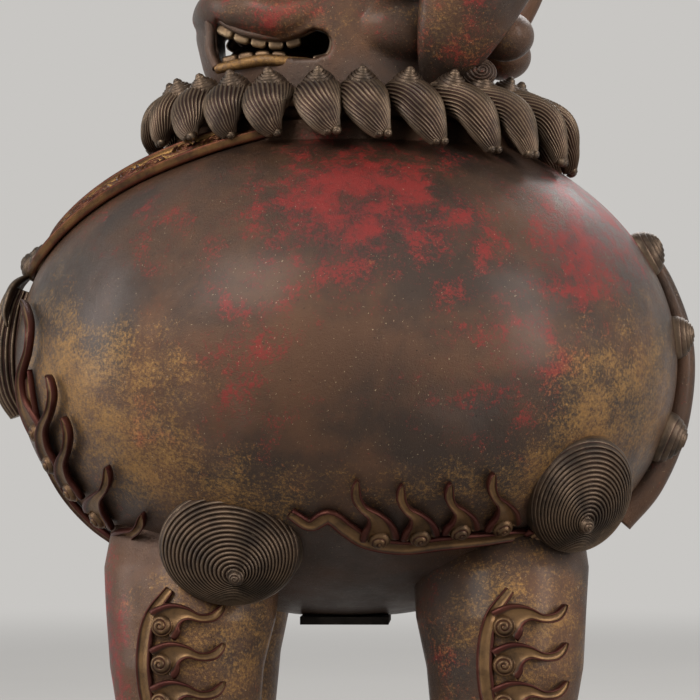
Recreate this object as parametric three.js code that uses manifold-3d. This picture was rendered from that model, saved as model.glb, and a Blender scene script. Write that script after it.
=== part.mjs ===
// A censer cast as a standing mythical lion: a ball-shaped belly on four clawed legs holds the fire,
// and the head with its ring of mane curls is the lid, which lifts straight off the neck.
// Millimetres, +Z up. The beast faces -X. The origin is on the floor under the middle of the outline.
import * as THREE from "three";
import { mergeVertices } from "three/addons/utils/BufferGeometryUtils.js";
import Module from "manifold-3d";

const wasm = await Module();
wasm.setup();

// Driving dimensions
const bellyLength = 350; // along X
const bellyWidth = 318; // along Y
const bellyHeight = 266;
const bellyCentreZ = 255;
const bellyWall = 6;
const seatGap = 0.4; // between a cast piece and the piece that carries it
const neckBore = 74; // radius
const neckWall = 6;
const neckTopZ = 384;
const spigotWall = 4;
const spigotDepth = 14;
const spigotClearance = 1.2;
const collarThickness = 9;
const legSpreadY = 76;
const frontLegX = -76;
const hindLegX = 81;
const legTopZ = 185;
const ankleZ = 46;
const pawHeight = 40;
const clawLength = 15;
const toeSpread = [-24, -8, 8, 24];
const flameThickness = 4.5;
const flameWidth = 9; // half width of a tongue near its root
const strapWidth = 25;
const strapThickness = 5;
const whorlHeight = 19;
const maneCurls = 24;
const maneRadiusX = 98;
const maneRadiusY = 84;
const curlLength = 36;
const curlWidth = 13; // half width
const curlThickness = 9;
const mouthCornerX = -8;
const mouthFrontX = -66;
const mouthFloorZ = 411;
const mouthHeight = 17;
const headCentreX = 6;
const headCentreZ = 470;
const headHalfLength = 66;
const headHalfWidth = 62;
const headHalfHeight = 66;
const headWall = 6;
const trayRadius = 62;
const trayHeight = 40;
const trayWall = 3;
const trayFloorZ = 150;
const plateLength = 46; // the core plate under the belly
const plateWidth = 60;
const plateThickness = 4;
const hornLength = 78;
const earLength = 118;

const halfLength = bellyLength / 2;
const halfWidth = bellyWidth / 2;
const halfHeight = bellyHeight / 2;
const spigotRadius = neckBore - spigotClearance;
const lidSeatZ = neckTopZ + seatGap;
const collarTopZ = lidSeatZ + collarThickness;

// Materials, as the photographed surfaces read
const finish = (color, roughness, metalness) => new THREE.MeshStandardMaterial({ color, roughness, metalness });
const lacquer = finish(0x5a3a2a, 0.4, 0.7);
const gilt = finish(0x8f6a35, 0.38, 0.85);
const darkBronze = finish(0x3b3029, 0.45, 0.8);
const ivoryGilt = finish(0x9a7a50, 0.5, 0.6);
const sootIron = finish(0x2a2522, 0.8, 0.5);

// Solid helpers
function solid(geometry) {
  const bare = geometry.clone();
  bare.deleteAttribute("normal");
  bare.deleteAttribute("uv");
  const merged = mergeVertices(bare, 1e-3);
  const triVerts = new Uint32Array(merged.index.array);
  const make = () =>
    new wasm.Manifold(new wasm.Mesh({ numProp: 3, vertProperties: merged.attributes.position.array, triVerts }));
  const made = make();
  if (made.volume() > 0) return made;
  for (let i = 0; i < triVerts.length; i += 3) {
    [triVerts[i + 1], triVerts[i + 2]] = [triVerts[i + 2], triVerts[i + 1]];
  }
  return make();
}

function geometryOf(manifold) {
  const mesh = manifold.getMesh();
  const geometry = new THREE.BufferGeometry();
  geometry.setAttribute("position", new THREE.BufferAttribute(mesh.vertProperties, 3));
  geometry.setIndex(new THREE.BufferAttribute(mesh.triVerts, 1));
  geometry.computeVertexNormals();
  return geometry;
}

const joined = (solids) => solids.reduce((sum, next) => sum.add(next));

// Copy of a solid that is a seat gap larger all round
function withGap(made) {
  const shifts = [0, 1, 2].flatMap((axis) =>
    [-seatGap, seatGap].map((by) => [0, 1, 2].map((other) => (other === axis ? by : 0))),
  );
  return joined([made, ...shifts.map((shift) => solid(geometryOf(made).translate(...shift)))]);
}

// What is left of a piece outside the rooms of its neighbours: the largest body of it
function outsideOf(made, ...rooms) {
  const left = rooms.reduce((rest, room) => rest.subtract(room), made);
  return left.decompose().sort((a, b) => b.volume() - a.volume())[0];
}

const seated = (made, ...neighbours) => outsideOf(made, ...neighbours.map(withGap));

// Ellipsoid with its poles on Z
function ellipsoid(centre, radii, around = 20, down = 12) {
  const geometry = new THREE.SphereGeometry(1, around, down).rotateX(Math.PI / 2);
  geometry.scale(...radii).translate(...centre);
  return solid(geometry);
}

function tube(radius, lowZ, highZ, sides = 40) {
  const geometry = new THREE.CylinderGeometry(radius, radius, highZ - lowZ, sides).rotateX(Math.PI / 2);
  return solid(geometry.translate(0, 0, (lowZ + highZ) / 2));
}

function block(low, high) {
  const size = high.map((value, i) => value - low[i]);
  const middle = high.map((value, i) => (value + low[i]) / 2);
  return solid(new THREE.BoxGeometry(...size).translate(...middle));
}

// Closed skin over rings of points, capped at both ends by a fan
function skin(rings) {
  const count = rings[0].length;
  const points = rings.flat();
  const faces = [];
  for (let r = 0; r < rings.length - 1; r++) {
    for (let i = 0; i < count; i++) {
      const a = r * count + i;
      const b = r * count + ((i + 1) % count);
      faces.push(a, b, a + count, b, b + count, a + count);
    }
  }
  const cap = (ring, flip) => {
    const first = ring * count;
    const middle = points.length;
    points.push(rings[ring].reduce((sum, p) => sum.clone().add(p), new THREE.Vector3()).divideScalar(count));
    for (let i = 0; i < count; i++) {
      const a = first + i;
      const b = first + ((i + 1) % count);
      faces.push(...(flip ? [b, a, middle] : [a, b, middle]));
    }
  };
  cap(0, true);
  cap(rings.length - 1, false);
  const geometry = new THREE.BufferGeometry().setFromPoints(points);
  geometry.setIndex(faces);
  return solid(geometry);
}

// Level elliptical sections, each { x, y, z, rx, ry }
function column(sections, sides = 16) {
  return skin(
    sections.map(({ x, y, z, rx, ry }) =>
      Array.from({ length: sides }, (_, i) => {
        const turn = (2 * Math.PI * i) / sides;
        return new THREE.Vector3(x + rx * Math.cos(turn), y + ry * Math.sin(turn), z);
      }),
    ),
  );
}

// Bar of changing radius along a curve; wide is the direction its full radius faces,
// and across it the section is thinner by the share flatten
function taperedBar(points, radiusAt, { steps = 8, sides = 8, flatten = 1, wide = null } = {}) {
  const curve = new THREE.CatmullRomCurve3(points);
  const reach = points.at(-1).clone().sub(points[0]);
  const leastAlong = Math.abs(reach.y) < Math.abs(reach.z) ? new THREE.Vector3(0, 1, 0) : new THREE.Vector3(0, 0, 1);
  const rings = [];
  for (let s = 0; s <= steps; s++) {
    const centre = curve.getPoint(s / steps);
    const along = curve.getTangent(s / steps);
    const side = (wide ?? leastAlong).clone();
    side.addScaledVector(along, -side.dot(along)).normalize();
    const face = new THREE.Vector3().crossVectors(along, side);
    const radius = radiusAt(s / steps);
    rings.push(
      Array.from({ length: sides }, (_, i) => {
        const turn = (2 * Math.PI * i) / sides;
        return centre
          .clone()
          .addScaledVector(side, radius * Math.cos(turn))
          .addScaledVector(face, radius * flatten * Math.sin(turn));
      }),
    );
  }
  return skin(rings);
}

// The belly as a surface: a point from a direction, and its outward normal
function bellyPoint(direction, height = 0) {
  const d = direction.clone().normalize();
  const reach = 1 / Math.hypot(d.x / halfLength, d.y / halfWidth, d.z / halfHeight);
  const p = d.multiplyScalar(reach);
  const normal = bellyNormal(p);
  return p.addScaledVector(normal, height).add(new THREE.Vector3(0, 0, bellyCentreZ));
}

function bellyNormal(p) {
  return new THREE.Vector3(p.x / halfLength ** 2, p.y / halfWidth ** 2, p.z / halfHeight ** 2).normalize();
}

// Point of the flank at x and z, on the side where Y has the given sign
function flankPoint(x, z, side, height = 0) {
  const level = 1 - (x / halfLength) ** 2 - ((z - bellyCentreZ) / halfHeight) ** 2;
  const y = side * halfWidth * Math.sqrt(Math.max(level, 0.004));
  return bellyPoint(new THREE.Vector3(x, y, z - bellyCentreZ), height);
}

// Ribbon that lies on a carrier: stations give the point, the outward normal and half the width,
// section gives the corners of its cross-section as shares of that half width and heights
function ribbon(stations, section) {
  const rings = stations.map(({ point, normal, half }, i) => {
    const before = stations[Math.max(i - 1, 0)].point;
    const after = stations[Math.min(i + 1, stations.length - 1)].point;
    const along = after.clone().sub(before).normalize();
    const across = new THREE.Vector3().crossVectors(normal, along).normalize();
    return section.map(([share, height]) =>
      point.clone().addScaledVector(across, share * half).addScaledVector(normal, height),
    );
  });
  return skin(rings);
}

const bevelled = (low, high) => [
  [-1, low],
  [1, low],
  [0.7, high],
  [-0.7, high],
];

const bellyOuter = (grow = 0) =>
  ellipsoid([0, 0, bellyCentreZ], [halfLength + grow, halfWidth + grow, halfHeight + grow], 36, 20);

// Room of the whole outside of the belly, with its neck, a seat gap larger
const bellyRoom = bellyOuter(seatGap).add(
  tube(neckBore + neckWall + seatGap, bellyCentreZ, neckTopZ + seatGap),
);

// Belly: a hollow ball, open at the neck, with a flat under it for the core plate
const plateSeatZ = bellyCentreZ - halfHeight + 1.5;
function bellyShell() {
  const outside = bellyOuter().add(tube(neckBore + neckWall, bellyCentreZ + halfHeight * 0.72, neckTopZ));
  const inside = ellipsoid(
    [0, 0, bellyCentreZ],
    [halfLength - bellyWall, halfWidth - bellyWall, halfHeight - bellyWall],
    24,
    12,
  );
  const mouth = tube(neckBore, bellyCentreZ, neckTopZ + 10);
  const flat = block([-halfLength, -halfWidth, 0], [halfLength, halfWidth, plateSeatZ]);
  const lugs = joined(
    [0, 1, 2].map((i) => {
      const turn = (2 * Math.PI * i) / 3;
      const x = trayRadius * 0.55 * Math.cos(turn);
      const y = trayRadius * 0.55 * Math.sin(turn);
      return block([x - 6, y - 6, plateSeatZ + 3], [x + 6, y + 6, trayFloorZ - seatGap]);
    }),
  );
  return outside.subtract(inside).subtract(mouth).subtract(flat).add(lugs);
}

function corePlate() {
  return block(
    [-plateLength / 2, -plateWidth / 2, plateSeatZ - seatGap - plateThickness],
    [plateLength / 2, plateWidth / 2, plateSeatZ - seatGap],
  );
}

function ashTray() {
  const shape = [
    [0, trayFloorZ],
    [trayRadius * 0.72, trayFloorZ],
    [trayRadius * 0.95, trayFloorZ + trayHeight * 0.4],
    [trayRadius, trayFloorZ + trayHeight],
    [trayRadius - trayWall, trayFloorZ + trayHeight],
    [trayRadius * 0.95 - trayWall, trayFloorZ + trayHeight * 0.4],
    [trayRadius * 0.72 - trayWall, trayFloorZ + trayWall],
    [0, trayFloorZ + trayWall],
  ];
  const profile = shape.map(([r, z]) => new THREE.Vector2(r, z));
  return solid(new THREE.LatheGeometry(profile, 32).rotateX(Math.PI / 2));
}

// Leg: a thick tapering column whose top is cut to the belly, with a padded paw and claws
function leg(x, side, room = 0) {
  const y = side * legSpreadY;
  const lean = x < 0 ? -1 : 1;
  const shank = column([
    { x, y: y * 0.7, z: legTopZ, rx: 40, ry: 26 },
    { x, y: y * 0.87, z: 150, rx: 44, ry: 33 },
    { x, y: y * 0.98, z: 125, rx: 42, ry: 34 },
    { x: x + 2 * lean, y, z: 100, rx: 38, ry: 33 },
    { x: x + lean, y, z: 76, rx: 35, ry: 31 },
    { x, y, z: ankleZ, rx: 31, ry: 28 },
    { x: x - 3, y, z: pawHeight * 0.6, rx: 36, ry: 33 },
    { x: x - 5, y, z: 3, rx: 39, ry: 36 },
    { x: x - 5, y, z: 0, rx: 36, ry: 33 },
  ].map((section) => ({ ...section, rx: section.rx + room, ry: section.ry + room })));
  if (room) return shank;
  const toes = toeSpread.map((offset) => {
    const toeX = x - 36 + Math.abs(offset) * 0.32;
    return taperedBar(
      [
        new THREE.Vector3(x - 12, y + offset * 0.6, 30),
        new THREE.Vector3(toeX + 6, y + offset, 27),
        new THREE.Vector3(toeX - 6, y + offset * 1.1, 12),
        new THREE.Vector3(toeX - 7 - clawLength * 0.2, y + offset * 1.12, 4),
      ],
      (t) => 9.5 - 5 * t * t,
      { steps: 4, sides: 6 },
    );
  });
  const aboveFloor = block([-300, -300, 0], [300, 300, 300]);
  return joined([shank, ...toes]).intersect(aboveFloor).subtract(bellyOuter(seatGap));
}

// Hair whorl: a cone of narrowing steps whose tip sits off its middle, cut to what carries it
function whorl(centre, normal, tiltToTip, radii, room = 0, rings = 4) {
  const frame = new THREE.Matrix4().lookAt(normal, new THREE.Vector3(), new THREE.Vector3(0, 0, 1));
  const xAxis = new THREE.Vector3().setFromMatrixColumn(frame, 0);
  const yAxis = new THREE.Vector3().setFromMatrixColumn(frame, 1);
  const sections = [];
  const sides = 18;
  const put = (share, height) => {
    const shift = tiltToTip.clone().multiplyScalar(1 - share);
    sections.push(
      Array.from({ length: sides }, (_, i) => {
        const turn = (2 * Math.PI * i) / sides;
        return centre
          .clone()
          .addScaledVector(xAxis, shift.x + (radii[0] * share + room) * Math.cos(turn))
          .addScaledVector(yAxis, shift.y + (radii[1] * share + room) * Math.sin(turn))
          .addScaledVector(normal, height + room);
      }),
    );
  };
  put(1, -32);
  put(1, whorlHeight * 0.12);
  for (let i = 1; i <= rings; i++) {
    const share = 1 - i / (rings + 0.6);
    const height = whorlHeight * (0.12 + 0.88 * Math.sin(((i / rings) * Math.PI) / 2));
    put(share + 0.05, height - 1.6);
    put(share, height);
  }
  return skin(sections);
}

// Flame band: a flat band with wavy tongues and a round boss at each root
// route gives the band's points and normals, tongues give the root share, the tip and the reach
function flameBand(route, pointOn, tongues, bandHalf, low) {
  const band = ribbon(
    route.map((uv, i) => ({
      ...pointOn(uv),
      half: bandHalf * (0.35 + 0.65 * Math.sin((Math.PI * (i + 0.35)) / (route.length - 0.3))),
    })),
    bevelled(low, flameThickness * 0.8),
  );
  const licks = tongues.flatMap(({ root, tip }) => {
    const steps = 5;
    const across = [-(tip[1] - root[1]), tip[0] - root[0]];
    const stations = Array.from({ length: steps + 1 }, (_, i) => {
      const t = i / steps;
      const wave = 0.16 * Math.sin(2 * Math.PI * t) * (1 - 0.3 * t);
      const uv = [0, 1].map((k) => root[k] + (tip[k] - root[k]) * t + across[k] * wave);
      return { ...pointOn(uv), half: flameWidth * (1 - t) ** 0.75 * (1 - 0.25 * Math.sin(Math.PI * t)) + 0.9 };
    });
    const boss = pointOn(root);
    const top = boss.point.clone().addScaledVector(boss.normal, flameThickness - 0.6);
    const bud = ellipsoid(top.toArray(), [4, 4, 4], 6, 3);
    return [ribbon(stations, bevelled(low, flameThickness)), bud];
  });
  return joined([band, ...licks]);
}

const onFlank = (side) => (uv) => {
  const point = flankPoint(uv[0], uv[1], side);
  const local = point.clone().sub(new THREE.Vector3(0, 0, bellyCentreZ));
  return { point, normal: bellyNormal(local) };
};

function bellyFlames(side) {
  const route = [
    [-22, 182],
    [-10, 176],
    [3, 170],
    [15, 167],
    [34, 167],
    [54, 170],
    [73, 173],
    [86, 178],
  ];
  const tongues = [
    { root: [4, 172], tip: [-7, 189] },
    { root: [21, 171], tip: [10, 196] },
    { root: [40, 172], tip: [31, 195] },
    { root: [60, 175], tip: [54, 198] },
    { root: [79, 179], tip: [74, 202] },
  ];
  return flameBand(route, onFlank(side), tongues, 6, 0.8);
}

function shoulderFlames(side) {
  const route = [
    [-153, 241],
    [-150, 223],
    [-145, 206],
    [-135, 189],
    [-122, 176],
    [-109, 167],
  ];
  const tongues = [
    { root: [-152, 227], tip: [-158, 282] },
    { root: [-147, 211], tip: [-143, 250] },
    { root: [-137, 195], tip: [-133, 230] },
    { root: [-125, 181], tip: [-114, 208] },
  ];
  return flameBand(route, onFlank(side), tongues, 6, 0.8);
}

// Leg flames lie on the outer face of a leg, whose half depth follows the leg's sections
function onLeg(x, side) {
  return ([across, z]) => {
    const climb = THREE.MathUtils.clamp((z - ankleZ) / (125 - ankleZ), 0, 1);
    const ry = 28 + 6 * climb;
    const rx = 31 + 11 * climb;
    const share = THREE.MathUtils.clamp((across - x) / rx, -0.9, 0.9);
    const depth = Math.sqrt(1 - share * share);
    const point = new THREE.Vector3(across, side * (legSpreadY * 0.99 + ry * depth), z);
    const normal = new THREE.Vector3(share / rx, (side * depth) / ry, 0).normalize();
    return { point, normal };
  };
}

function legFlames(x, side) {
  const lead = x < 0 ? -18 : -6;
  const route = [
    [x + lead + 4, 128],
    [x + lead - 2, 112],
    [x + lead - 2, 94],
    [x + lead + 2, 78],
    [x + lead + 8, 64],
  ];
  const tongues = [0, 1, 2].map((i) => ({
    root: [x + lead + 6, 118 - 19 * i],
    tip: [x + lead + 34 - i, 131 - 19 * i],
  }));
  return flameBand(route, onLeg(x, side), tongues, 6, -2);
}

// Chest strap: a raised band with rims that runs from under the mane down to the chest
const strapPlan = [
  [-28, 63],
  [-45, 67],
  [-75, 66],
  [-103, 58],
  [-130, 44],
  [-150, 26],
  [-159, 0],
];

function strapStations(shift, half) {
  const nearSide = strapPlan.map(([x, y]) => new THREE.Vector3(x, y, 0));
  const farSide = nearSide.slice(0, -1).map((p) => new THREE.Vector3(p.x, -p.y, 0));
  const course = new THREE.CatmullRomCurve3([...nearSide, ...farSide.reverse()]);
  return course.getSpacedPoints(18).map((p) => {
    const level = 1 - (p.x / halfLength) ** 2 - (p.y / halfWidth) ** 2;
    const local = new THREE.Vector3(p.x, p.y, halfHeight * Math.sqrt(level));
    const out = new THREE.Vector3(p.x, p.y * 1.4, 0).normalize();
    const normal = bellyNormal(local);
    const down = out.clone().addScaledVector(normal, -out.dot(normal)).normalize();
    const point = bellyPoint(local.addScaledVector(down, shift));
    return { point, normal, half };
  });
}

function chestStrap() {
  const low = 1;
  const sunk = strapThickness * 0.55;
  const section = [
    [-1, low],
    [1, low],
    [1, strapThickness],
    [0.76, strapThickness],
    [0.68, sunk],
    [-0.68, sunk],
    [-0.76, strapThickness],
    [-1, strapThickness],
  ];
  return outsideOf(ribbon(strapStations(0, strapWidth / 2), section), bellyRoom);
}

function chestTassel() {
  const spine = [46, 33, 12, -8, -26].map((z, i) =>
    bellyPoint(new THREE.Vector3(-halfLength, 0, z), [2, 1, 0, -1, -3][i]),
  );
  const bar = taperedBar(spine, (t) => 8 + 6 * Math.sin(Math.PI * Math.min(1, 0.12 + t * 0.8)), { sides: 12 });
  return outsideOf(bar, bellyRoom);
}

// Tail: a stem that lies up the rump, with curls on both sides
function tail() {
  const along = [-98, -66, -30, 8, 44, 78].map((z, i) =>
    bellyPoint(new THREE.Vector3(halfLength, 0, z), [4, 4, 3, 3, 2, 1][i]),
  );
  return outsideOf(taperedBar(along, (t) => 10 - 4.5 * t, { steps: 12 }), bellyRoom);
}

const tailCurlSpots = [
  { height: -40, size: 12 },
  { height: 14, size: 10 },
  { height: 64, size: 11 },
];

function tailCurl({ height, size }, side) {
  const at = bellyPoint(new THREE.Vector3(halfLength, side * (size + 2), height), size * 0.3);
  return ellipsoid(at.toArray(), [size, size * 0.9, size * 1.15], 10, 6);
}

// Mane: a sloping ring round the neck with overlapping curls, one casting that the head sits on
function maneCollar() {
  const ringSections = [
    { x: 0, y: 0, z: lidSeatZ, rx: neckBore + neckWall + 6, ry: neckBore + neckWall + 4 },
    { x: 0, y: 0, z: collarTopZ, rx: neckBore + 4, ry: neckBore },
  ];
  const spigot = tube(spigotRadius, neckTopZ - spigotDepth, lidSeatZ + 2);
  const bore = tube(spigotRadius - spigotWall, neckTopZ - spigotDepth - 5, collarTopZ + 20);
  const curls = Array.from({ length: maneCurls }, (_, i) => {
    const turn = (2 * Math.PI * (i + 0.5)) / maneCurls;
    const out = new THREE.Vector3(Math.cos(turn), Math.sin(turn), 0);
    const back = Math.max(0, Math.cos(turn));
    const reachX = maneRadiusX * (1 + 0.14 * back);
    const root = new THREE.Vector3(out.x * (neckBore + 2), out.y * (neckBore - 3), collarTopZ + 3);
    const rim = new THREE.Vector3(out.x * reachX, out.y * (maneRadiusY + 6), lidSeatZ - 1 - 4 * back);
    const down = new THREE.Vector3(
      out.x * (reachX + 7),
      out.y * (maneRadiusY + 13),
      lidSeatZ - curlLength * 0.42 - 5 * back,
    );
    const middle = root.clone().lerp(rim, 0.6).add(new THREE.Vector3(0, 0, 3));
    return taperedBar(
      [root, middle, rim, down],
      (t) => curlThickness * 0.35 + curlWidth * 0.75 * Math.sin(Math.PI * Math.min(1, 0.2 + 0.72 * t)),
      { steps: 4, sides: 6 },
    );
  });
  const clear = bellyOuter(strapThickness + 4 * seatGap).add(tube(neckBore + neckWall + seatGap, 300, neckTopZ));
  return joined([column(ringSections, 28), ...curls]).subtract(clear).add(spigot).subtract(bore);
}

// Head shell: skull, muzzle and cheeks, hollow for the smoke and open at the mouth
function headOuter() {
  const skull = ellipsoid([headCentreX, 0, headCentreZ], [headHalfLength, headHalfWidth, headHalfHeight]);
  const muzzle = column(
    [
      { x: -38, y: 0, z: mouthFloorZ + seatGap, rx: 42, ry: 46 },
      { x: -38, y: 0, z: mouthFloorZ + mouthHeight, rx: 42, ry: 46 },
      { x: -36, y: 0, z: 444, rx: 43, ry: 49 },
      { x: -32, y: 0, z: 462, rx: 40, ry: 44 },
      { x: -26, y: 0, z: 478, rx: 32, ry: 34 },
      { x: -20, y: 0, z: 490, rx: 18, ry: 20 },
    ],
    24,
  );
  const cheeks = [-1, 1].map((side) => ellipsoid([16, side * 44, 424], [23, 22, 22], 14, 10));
  const neck = column(
    [
      { x: 2, y: 0, z: collarTopZ + seatGap, rx: 66, ry: 61 },
      { x: 2, y: 0, z: 450, rx: 62, ry: 58 },
    ],
    32,
  );
  return joined([skull, muzzle, ...cheeks, neck]);
}

function headShell() {
  const inside = ellipsoid([headCentreX, 0, headCentreZ - 4], [52, 48, 52], 18, 12).add(
    column(
      [
        { x: 2, y: 0, z: collarTopZ - 10, rx: 57, ry: 52 },
        { x: 2, y: 0, z: 460, rx: 50, ry: 46 },
      ],
      24,
    ),
  );
  const throat = column(
    [
      { x: -34, y: 0, z: mouthFloorZ - 5, rx: 34, ry: 38 },
      { x: -34, y: 0, z: mouthFloorZ + mouthHeight + 6, rx: 34, ry: 38 },
    ],
    20,
  );
  const gape = block([mouthFrontX, -90, mouthFloorZ], [mouthCornerX, 90, mouthFloorZ + mouthHeight]);
  const jawRoom = block([-120, -90, collarTopZ - 10], [mouthCornerX, 90, mouthFloorZ + seatGap]);
  const base = block([-120, -120, 300], [120, 120, collarTopZ + seatGap]);
  return headOuter().subtract(inside).subtract(throat).subtract(gape).subtract(jawRoom).subtract(base);
}

// Lower jaw: a trough that closes the front of the head under the mouth
const jawBottomZ = collarTopZ + 2 * seatGap;
function lowerJaw() {
  const outside = column(
    [
      { x: -30, y: 0, z: jawBottomZ, rx: 42, ry: 48 },
      { x: -34, y: 0, z: mouthFloorZ, rx: 47, ry: 51 },
    ],
    28,
  );
  const hollow = column(
    [
      { x: -26, y: 0, z: jawBottomZ + 5, rx: 34, ry: 40 },
      { x: -30, y: 0, z: mouthFloorZ + 6, rx: 39, ry: 43 },
    ],
    24,
  );
  const rear = block([mouthCornerX - seatGap, -90, 380], [120, 90, 480]);
  return outside.subtract(hollow).subtract(rear);
}

// Row of teeth along one side of the mouth: rise is +1 for a lower row and -1 for an upper row
function toothRow(seatZ, rise, side, count) {
  const pitch = 8.5;
  const toothHeight = 5;
  const teeth = Array.from({ length: count }, (_, i) => {
    const x = mouthFrontX + 6 + pitch * i;
    const share = (x + 36) / 37;
    const y = side * 41 * Math.sqrt(1 - share * share);
    const turn = -side * Math.asin(share);
    const tooth = new THREE.BoxGeometry(pitch + 1.2, 4, toothHeight).rotateZ(turn);
    return solid(tooth.translate(x, y, seatZ + (rise * toothHeight) / 2));
  });
  return joined(teeth);
}

function ear(side) {
  const y = side * 62;
  const points = [
    new THREE.Vector3(50, y * 0.9, 404),
    new THREE.Vector3(56, y, 424),
    new THREE.Vector3(68, y * 1.12, 448),
    new THREE.Vector3(88, y * 1.2, 400 + earLength * 0.74),
    new THREE.Vector3(104, y * 1.18, 400 + earLength),
  ];
  const radiusAt = (t) => 10 + 19 * Math.sin(Math.PI * Math.min(0.97, 0.03 + t * 0.85));
  return taperedBar(points, radiusAt, { sides: 12, flatten: 0.5, wide: new THREE.Vector3(1, 0, 0) });
}

function horn() {
  const points = [
    new THREE.Vector3(0, 0, headCentreZ + headHalfHeight - 6),
    new THREE.Vector3(8, 0, headCentreZ + headHalfHeight + hornLength * 0.4),
    new THREE.Vector3(30, 0, headCentreZ + headHalfHeight + hornLength * 0.8),
    new THREE.Vector3(52, 0, headCentreZ + headHalfHeight + hornLength),
  ];
  return taperedBar(points, (t) => 14 - 11 * t, { sides: 10 });
}

function hairLock(side) {
  const points = [
    new THREE.Vector3(40, side * 50, 452),
    new THREE.Vector3(34, side * 64, 474),
    new THREE.Vector3(44, side * 62, 502),
    new THREE.Vector3(66, side * 48, 520),
  ];
  return taperedBar(points, (t) => 6 + 11 * Math.sin(Math.PI * (0.15 + 0.8 * t)), { flatten: 0.8 });
}

const eyeball = (side) => ellipsoid([-30, side * 36, 492], [15, 13, 14], 14, 10);

function brow(side) {
  const points = [
    new THREE.Vector3(-52, side * 14, 500),
    new THREE.Vector3(-44, side * 34, 514),
    new THREE.Vector3(-20, side * 52, 514),
    new THREE.Vector3(8, side * 60, 500),
  ];
  return taperedBar(points, (t) => 4 + 5.5 * Math.sin(Math.PI * t));
}

function nose() {
  const bridge = ellipsoid([-62, 0, 474], [16, 22, 14], 12, 8);
  const wings = [-1, 1].map((side) => ellipsoid([-64, side * 19, 466], [13, 12, 11], 10, 6));
  return joined([bridge, ...wings]);
}

function tongue() {
  return column(
    [
      { x: -30, y: 0, z: jawBottomZ + 5 + seatGap, rx: 22, ry: 20 },
      { x: -30, y: 0, z: mouthFloorZ, rx: 25, ry: 21 },
      { x: -30, y: 0, z: mouthFloorZ + 3, rx: 18, ry: 14 },
    ],
    20,
  );
}

// Assembly
const beast = new THREE.Group();
const stand = new THREE.Group();
const lid = new THREE.Group();
beast.add(stand, lid);

function place(group, name, made, material) {
  const mesh = new THREE.Mesh(geometryOf(made), material);
  mesh.name = name;
  group.add(mesh);
}

const strap = chestStrap();
place(stand, "belly_shell", bellyShell(), lacquer);
place(stand, "core_plate", corePlate(), darkBronze);
place(stand, "ash_tray", ashTray(), sootIron);
place(stand, "chest_strap", strap, gilt);
place(stand, "chest_tassel", seated(chestTassel(), strap), gilt);

const tailStem = tail();
place(stand, "tail_stem", tailStem, gilt);
const tailRoom = withGap(tailStem);

const whorlSpots = {
  front: { x: frontLegX, at: [-54, 112, 161], facing: [-0.14, 0.95, -0.26], tip: [6, -11], radii: [36, 30] },
  hind: { x: hindLegX, at: [121, 92, 187], facing: [0.45, 0.8, -0.38], tip: [-3, -11], radii: [29, 31] },
};

for (const [sideName, side] of [["left", -1], ["right", 1]]) {
  tailCurlSpots.forEach((spot, i) => {
    const curl = outsideOf(tailCurl(spot, side), bellyRoom, tailRoom);
    place(stand, `tail_curl_${i + 1}_${sideName}`, curl, darkBronze);
  });
  const rooms = [];
  for (const [end, spot] of Object.entries(whorlSpots)) {
    const limb = leg(spot.x, side);
    const legRoom = leg(spot.x, side, seatGap);
    const centre = new THREE.Vector3(spot.at[0], side * spot.at[1], spot.at[2]);
    const facing = new THREE.Vector3(spot.facing[0], side * spot.facing[1], spot.facing[2]).normalize();
    const tip = new THREE.Vector2(side * spot.tip[0], spot.tip[1]);
    const curlRoom = whorl(centre, facing, tip, spot.radii, seatGap, 3);
    const curl = outsideOf(whorl(centre, facing, tip, spot.radii), bellyRoom, legRoom);
    rooms.push(legRoom, curlRoom);
    place(stand, `${end}_leg_${sideName}`, limb, gilt);
    place(stand, `${end}_whorl_${sideName}`, curl, darkBronze);
    const licks = outsideOf(legFlames(spot.x, side), legRoom, curlRoom, bellyRoom);
    place(stand, `${end}_leg_flames_${sideName}`, licks, darkBronze);
  }
  place(stand, `belly_flames_${sideName}`, outsideOf(bellyFlames(side), ...rooms), darkBronze);
  place(stand, `shoulder_flames_${sideName}`, outsideOf(shoulderFlames(side), ...rooms), darkBronze);
}

const mane = maneCollar();
const jaw = seated(lowerJaw(), mane);
const head = seated(headShell(), mane);
place(lid, "mane_collar", mane, darkBronze);
place(lid, "lower_jaw", jaw, gilt);
place(lid, "head_shell", head, lacquer);
place(lid, "tongue", seated(tongue(), jaw, head), lacquer);

const crest = seated(horn(), head);
const muzzle = seated(nose(), head);
place(lid, "horn", crest, gilt);
place(lid, "nose", muzzle, gilt);
for (const [sideName, side] of [["left", -1], ["right", 1]]) {
  const upper = toothRow(mouthFloorZ + mouthHeight - seatGap, -1, side, 5);
  const lower = toothRow(mouthFloorZ + seatGap, 1, side, 4);
  place(lid, `upper_teeth_${sideName}`, seated(upper, head), ivoryGilt);
  place(lid, `lower_teeth_${sideName}`, seated(lower, jaw, head), ivoryGilt);
  const bell = seated(ear(side), head, mane);
  const lock = seated(hairLock(side), head, bell);
  const arch = seated(brow(side), head, lock, muzzle);
  place(lid, `ear_${sideName}`, bell, gilt);
  place(lid, `hair_lock_${sideName}`, lock, darkBronze);
  place(lid, `brow_${sideName}`, arch, gilt);
  place(lid, `eye_${sideName}`, seated(eyeball(side), head, arch, muzzle), ivoryGilt);
}

const outline = new THREE.Box3().setFromObject(beast);
beast.position.x = -(outline.min.x + outline.max.x) / 2;

export default beast;
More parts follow.
